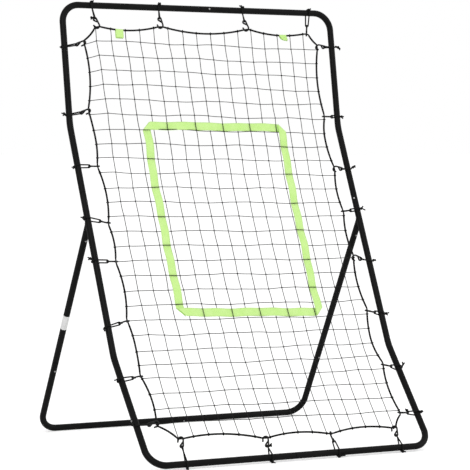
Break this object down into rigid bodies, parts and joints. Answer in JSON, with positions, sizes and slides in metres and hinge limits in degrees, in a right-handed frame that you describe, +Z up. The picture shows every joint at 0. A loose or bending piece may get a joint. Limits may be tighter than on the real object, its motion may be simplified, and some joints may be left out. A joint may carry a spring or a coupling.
{
  "type": "pitch back rebounder",
  "caption": "Free-standing ball rebounder: a bent tube frame holds a net with a woven target on hooked elastic loops, over a rear stand.",
  "frame": {"origin": "on the ground, in the middle of the footprint", "axes": "+Z up, +Y from the net towards the stand, +X to the right as seen by the player who faces the net"},
  "size_m": [1.2658, 1.0023, 1.7147],
  "materials": {
    "black_paint": "satin black powder coat",
    "button": "plated steel",
    "leaf_spring": "bare spring steel",
    "hook_wire": "black coated wire",
    "elastic_cord": "black braided sleeve over rubber",
    "net_twine": "black knotted twine",
    "edge_rope": "black braided rope",
    "lime_ribbon": "woven ribbon",
    "label": "blank white film"
  },
  "bodies": {
    "frame": {"top_tube_left": "black_paint", "top_tube_right": "black_paint", "side_tube_left": "black_paint", "side_tube_right": "black_paint", "bottom_tube_left": "black_paint", "bottom_tube_right": "black_paint", "stand_leg_left": "black_paint", "stand_leg_right": "black_paint", "stand_base_left": "black_paint", "stand_base_right": "black_paint", "top_button_spring": "leaf_spring", "bottom_button_spring": "leaf_spring", "base_button_spring": "leaf_spring", "side_button_spring_left": "leaf_spring", "side_button_spring_right": "leaf_spring", "foot_button_spring_left": "leaf_spring", "foot_button_spring_right": "leaf_spring", "leg_top_button_spring_left": "leaf_spring", "leg_top_button_spring_right": "leaf_spring", "leg_button_spring_left": "leaf_spring", "leg_button_spring_right": "leaf_spring", "net_upper": "net_twine", "net_middle": "net_twine", "net_lower": "net_twine", "edge_rope": "edge_rope", "target_ribbon": "lime_ribbon", "tag_left": "lime_ribbon", "tag_right": "lime_ribbon", "hooks_top": "hook_wire", "hooks_right": "hook_wire", "hooks_bottom": "hook_wire", "hooks_left": "hook_wire", "elastic_loops_top": "elastic_cord", "elastic_loops_right": "elastic_cord", "elastic_loops_bottom": "elastic_cord", "elastic_loops_left": "elastic_cord", "leg_label": "label"},
    "top_button": {"top_button": "button"},
    "bottom_button": {"bottom_button": "button"},
    "base_button": {"base_button": "button"},
    "side_button_left": {"side_button_left": "button"},
    "side_button_right": {"side_button_right": "button"},
    "foot_button_left": {"foot_button_left": "button"},
    "foot_button_right": {"foot_button_right": "button"},
    "leg_top_button_left": {"leg_top_button_left": "button"},
    "leg_top_button_right": {"leg_top_button_right": "button"},
    "leg_button_left": {"leg_button_left": "button"},
    "leg_button_right": {"leg_button_right": "button"}
  },
  "joints": [
    {"name": "top_button_press", "type": "slide", "parent": "frame", "child": "top_button", "axis": [0, 0.9816, -0.1908], "range_m": [0, 0.0041], "stiffness_N_per_m": 1500, "deforming": ["top_button_spring"]},
    {"name": "bottom_button_press", "type": "slide", "parent": "frame", "child": "bottom_button", "axis": [0, -0.7547, 0.6561], "range_m": [0, 0.0041], "stiffness_N_per_m": 1500, "deforming": ["bottom_button_spring"]},
    {"name": "base_button_press", "type": "slide", "parent": "frame", "child": "base_button", "axis": [0, 0.891, 0.454], "range_m": [0, 0.0041], "stiffness_N_per_m": 1500, "deforming": ["base_button_spring"]},
    {"name": "side_button_left_press", "type": "slide", "parent": "frame", "child": "side_button_left", "axis": [-0.6428, 0.6885, -0.3358], "range_m": [0, 0.0041], "stiffness_N_per_m": 1500, "deforming": ["side_button_spring_left"]},
    {"name": "side_button_right_press", "type": "slide", "parent": "frame", "child": "side_button_right", "axis": [0.6428, 0.6885, -0.3358], "range_m": [0, 0.0041], "stiffness_N_per_m": 1500, "deforming": ["side_button_spring_right"]},
    {"name": "foot_button_left_press", "type": "slide", "parent": "frame", "child": "foot_button_left", "axis": [1, 0, 0], "range_m": [0, 0.0041], "stiffness_N_per_m": 1500, "deforming": ["foot_button_spring_left"]},
    {"name": "foot_button_right_press", "type": "slide", "parent": "frame", "child": "foot_button_right", "axis": [-1, 0, 0], "range_m": [0, 0.0041], "stiffness_N_per_m": 1500, "deforming": ["foot_button_spring_right"]},
    {"name": "leg_top_button_left_press", "type": "slide", "parent": "frame", "child": "leg_top_button_left", "axis": [0, 0.891, 0.454], "range_m": [0, 0.0041], "stiffness_N_per_m": 1500, "deforming": ["leg_top_button_spring_left"]},
    {"name": "leg_top_button_right_press", "type": "slide", "parent": "frame", "child": "leg_top_button_right", "axis": [0, 0.891, 0.454], "range_m": [0, 0.0041], "stiffness_N_per_m": 1500, "deforming": ["leg_top_button_spring_right"]},
    {"name": "leg_button_left_press", "type": "slide", "parent": "frame", "child": "leg_button_left", "axis": [0, 0.891, 0.454], "range_m": [0, 0.0041], "stiffness_N_per_m": 1500, "deforming": ["leg_button_spring_left"]},
    {"name": "leg_button_right_press", "type": "slide", "parent": "frame", "child": "leg_button_right", "axis": [0, 0.891, 0.454], "range_m": [0, 0.0041], "stiffness_N_per_m": 1500, "deforming": ["leg_button_spring_right"]}
  ]
}
